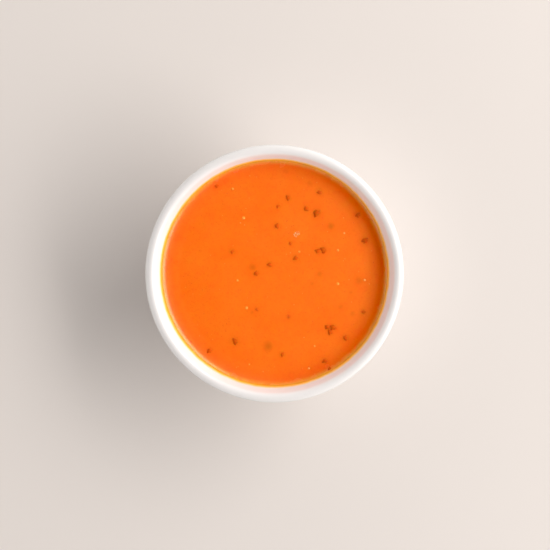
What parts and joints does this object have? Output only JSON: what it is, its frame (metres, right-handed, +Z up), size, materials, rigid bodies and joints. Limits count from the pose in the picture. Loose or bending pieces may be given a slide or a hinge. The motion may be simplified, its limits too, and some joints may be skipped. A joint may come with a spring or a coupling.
{
  "type": "bowl of tomato soup",
  "caption": "Small round white porcelain bowl with a rolled lip and a foot ring, filled to just under its rim with smooth orange tomato soup flecked with herbs.",
  "frame": {"origin": "on the table under the bowl's axis, at the middle of the foot ring's bottom face", "axes": "+Z up along the bowl's axis; +X towards the side of the bowl that the herb flecks gather on"},
  "size_m": [0.12, 0.12, 0.058],
  "materials": {
    "porcelain": "smooth glossy warm white glaze over porcelain",
    "tomato_soup": "opaque wet orange soup with a soft sheen"
  },
  "bodies": {
    "root": {"bowl": "porcelain", "soup": "tomato_soup"}
  },
  "joints": []
}
